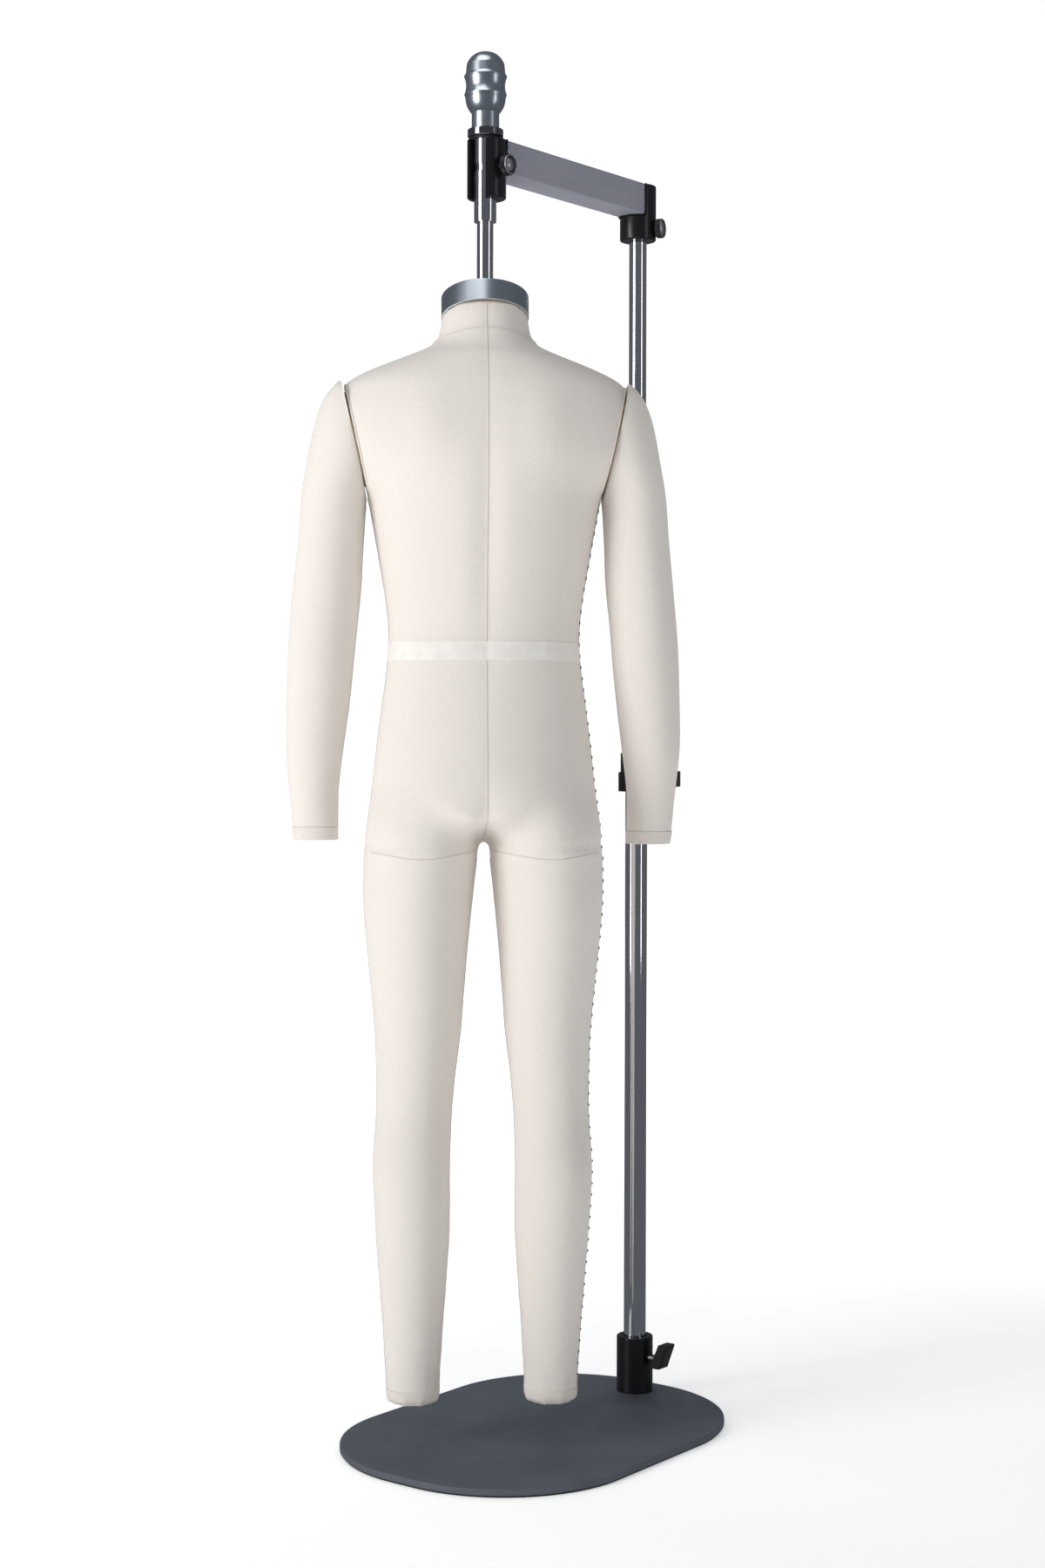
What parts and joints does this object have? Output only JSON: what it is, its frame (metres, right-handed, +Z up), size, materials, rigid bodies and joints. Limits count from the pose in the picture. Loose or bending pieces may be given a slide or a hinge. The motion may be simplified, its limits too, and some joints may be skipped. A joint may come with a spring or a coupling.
{
  "type": "dress form mannequin",
  "caption": "Full-body tailor's dress form with hanging arms, carried by its neck spindle from a telescopic side pole on a flat base.",
  "frame": {"origin": "on the floor, straight below the spindle that carries the form", "axes": "+Z up; the form faces -Y, so its left side is +X; the arm and pole are towards -X and -Y"},
  "size_m": [0.6112, 0.5528, 1.879],
  "materials": {
    "plate_grey": "satin",
    "arm_grey": "satin",
    "socket_black": "satin",
    "mat_rubber": "matte",
    "lever_black": "satin",
    "knob_black": "satin",
    "screw_steel": "polished",
    "pole_chrome": "polished",
    "bush_chrome": "polished",
    "flange_nickel": "polished",
    "finial_metal": "polished",
    "liner_nylon": "matte",
    "washer_brass": "satin",
    "plate_wood": "matte",
    "shell_plastic": "matte",
    "cover_fabric": "matte",
    "tape_fabric": "matte",
    "hem_fabric": "matte",
    "core_foam": "matte"
  },
  "bodies": {
    "base": {"base_mat": "mat_rubber", "base_plate": "plate_grey", "base_screws": "screw_steel", "base_socket": "socket_black", "base_bush": "liner_nylon"},
    "base_clamp": {"base_clamp_screw": "screw_steel", "base_clamp_lever": "lever_black"},
    "lower_mast": {"lower_pole": "pole_chrome", "collar_body": "socket_black", "collar_ring": "socket_black", "collar_bush": "liner_nylon"},
    "collar_clamp": {"collar_clamp_screw": "screw_steel", "collar_clamp_lever": "lever_black"},
    "upper_mast": {"upper_pole": "pole_chrome", "pole_guide": "liner_nylon"},
    "arm": {"pole_top_socket": "socket_black", "arm_tube": "arm_grey", "hanger_cradle": "socket_black"},
    "arm_clamp": {"arm_knob_screw": "screw_steel", "arm_knob": "knob_black"},
    "cradle_clamp": {"cradle_knob_screw": "screw_steel", "cradle_knob": "knob_black"},
    "bush": {"hanger_bush": "bush_chrome", "bush_flange": "flange_nickel", "cradle_washer": "liner_nylon", "thrust_washer": "washer_brass"},
    "form": {"hanger_rod": "bush_chrome", "finial_collar": "finial_metal", "finial": "finial_metal", "neck_cap": "finial_metal", "neck_plate": "plate_wood", "neck_washer": "screw_steel", "neck_nut": "screw_steel", "torso_cover": "cover_fabric", "torso_shell": "shell_plastic", "waist_tape": "tape_fabric", "left_shoulder_plate": "plate_wood", "left_arm_pin": "screw_steel", "left_leg_cover": "cover_fabric", "left_leg_shell": "shell_plastic", "left_ankle_disc": "plate_wood", "left_ankle_hem": "hem_fabric", "right_shoulder_plate": "plate_wood", "right_arm_pin": "screw_steel", "right_leg_cover": "cover_fabric", "right_leg_shell": "shell_plastic", "right_ankle_disc": "plate_wood", "right_ankle_hem": "hem_fabric"},
    "left_arm": {"left_arm_plate": "plate_wood", "left_arm_cover": "cover_fabric", "left_arm_core": "core_foam", "left_wrist_disc": "plate_wood", "left_wrist_hem": "hem_fabric"},
    "right_arm": {"right_arm_plate": "plate_wood", "right_arm_cover": "cover_fabric", "right_arm_core": "core_foam", "right_wrist_disc": "plate_wood", "right_wrist_hem": "hem_fabric"}
  },
  "joints": [
    {"name": "pole_turn", "type": "hinge", "parent": "base", "child": "lower_mast", "pos_m": [-0.23505, -0.27135, 0.06], "axis": [0, 0, 1], "continuous": true},
    {"name": "base_lever_turn", "type": "hinge", "parent": "base", "child": "base_clamp", "pos_m": [-0.23505, -0.27135, 0.062], "axis": [-0.7559, 0.6547, 0], "range_deg": [-180, 180]},
    {"name": "pole_height", "type": "slide", "parent": "lower_mast", "child": "upper_mast", "axis": [0, 0, 1], "range_m": [-0.05, 0.3]},
    {"name": "collar_lever_turn", "type": "hinge", "parent": "lower_mast", "child": "collar_clamp", "pos_m": [-0.23505, -0.27135, 0.9], "axis": [-0.982, 0.1891, 0], "range_deg": [-180, 180]},
    {"name": "arm_turn", "type": "hinge", "parent": "upper_mast", "child": "arm", "pos_m": [-0.23505, -0.27135, 1.72], "axis": [0, 0, 1], "continuous": true},
    {"name": "arm_knob_turn", "type": "hinge", "parent": "arm", "child": "arm_clamp", "pos_m": [-0.23505, -0.27135, 1.699], "axis": [-0.907, 0.421, 0], "range_deg": [-360, 360]},
    {"name": "cradle_knob_turn", "type": "hinge", "parent": "arm", "child": "cradle_clamp", "pos_m": [0, 0, 1.723], "axis": [-0.7559, 0.6547, 0], "range_deg": [-360, 360]},
    {"name": "form_unhook", "type": "slide", "parent": "arm", "child": "bush", "axis": [0.6547, 0.7559, 0], "range_m": [0, 0.06]},
    {"name": "form_swivel", "type": "hinge", "parent": "bush", "child": "form", "pos_m": [0, 0, 1.6], "axis": [0, 0, 1], "continuous": true},
    {"name": "left_arm_swing", "type": "hinge", "parent": "form", "child": "left_arm", "pos_m": [0.1725, 0.005, 1.358], "axis": [0.9759, 0, -0.2181], "range_deg": [-60, 30]},
    {"name": "right_arm_swing", "type": "hinge", "parent": "form", "child": "right_arm", "pos_m": [-0.1725, 0.005, 1.358], "axis": [-0.9759, 0, -0.2181], "range_deg": [-15, 20]}
  ]
}
